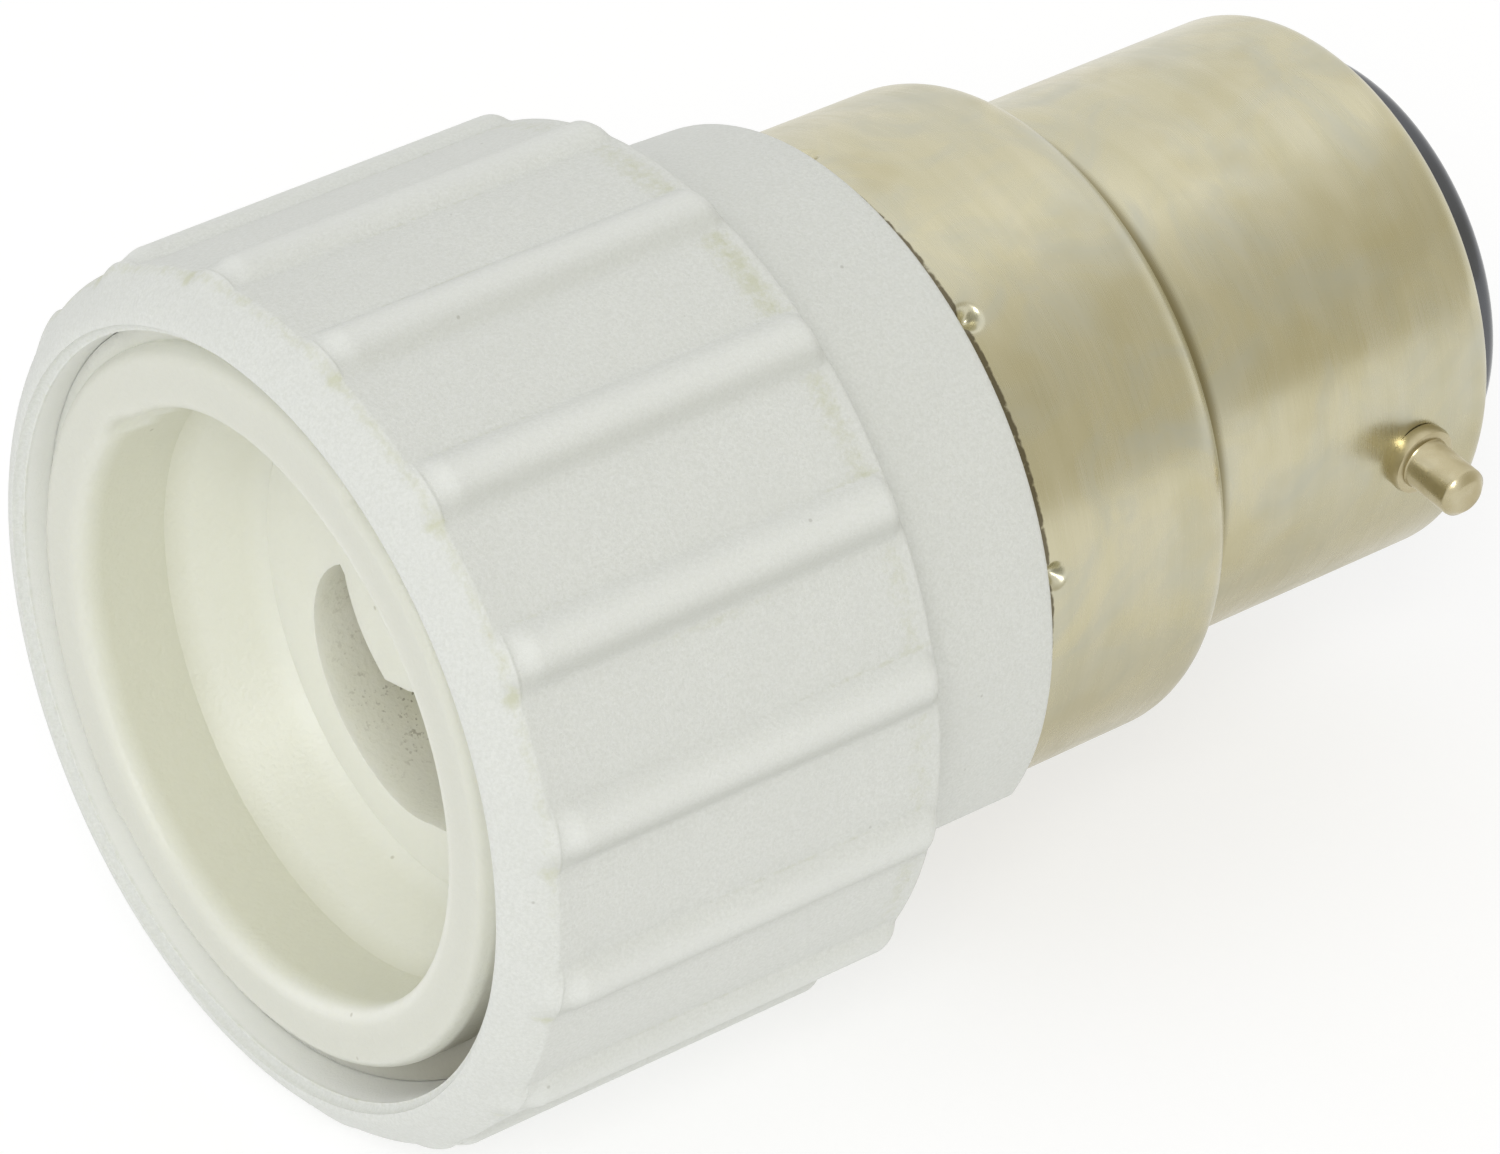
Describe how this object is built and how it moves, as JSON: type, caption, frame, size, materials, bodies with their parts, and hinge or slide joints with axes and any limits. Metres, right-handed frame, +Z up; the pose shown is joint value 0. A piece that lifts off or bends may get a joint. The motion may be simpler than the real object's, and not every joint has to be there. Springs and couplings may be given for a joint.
{
  "type": "lamp socket adapter",
  "caption": "Lamp socket adapter: a bayonet cap with side pins at one end, a ribbed moulded body with a ceramic twist-lock two-pin socket at the other.",
  "frame": {"origin": "on the surface the part lies on, below the middle of its overall box", "axes": "+X along the axis from the socket mouth to the cap's contacts, +Z up, +Y to the left when looking from the mouth to the cap"},
  "size_m": [0.0542, 0.0344, 0.0345],
  "materials": {
    "moulded_white": "matte",
    "cream_ceramic": "satin",
    "nickel_plated_brass": "satin",
    "bare_brass": "satin",
    "spring_bronze": "satin",
    "dark_moulding": "gloss",
    "solder": "satin",
    "lead_sleeve": "matte"
  },
  "bodies": {
    "root": {"housing": "moulded_white", "socket_body": "cream_ceramic", "socket_cover": "cream_ceramic", "centre_rivet": "bare_brass", "contact_spring_1": "spring_bronze", "contact_spring_2": "spring_bronze", "contact_rivet_1": "bare_brass", "contact_rivet_2": "bare_brass", "terminal_1": "bare_brass", "terminal_2": "bare_brass", "lead_1": "lead_sleeve", "lead_2": "lead_sleeve", "cap_shell": "nickel_plated_brass", "bayonet_pin_1": "bare_brass", "bayonet_pin_2": "bare_brass", "cap_insulator": "dark_moulding", "end_contact_1": "bare_brass", "end_contact_2": "bare_brass", "solder_1": "solder", "solder_2": "solder"}
  },
  "joints": []
}
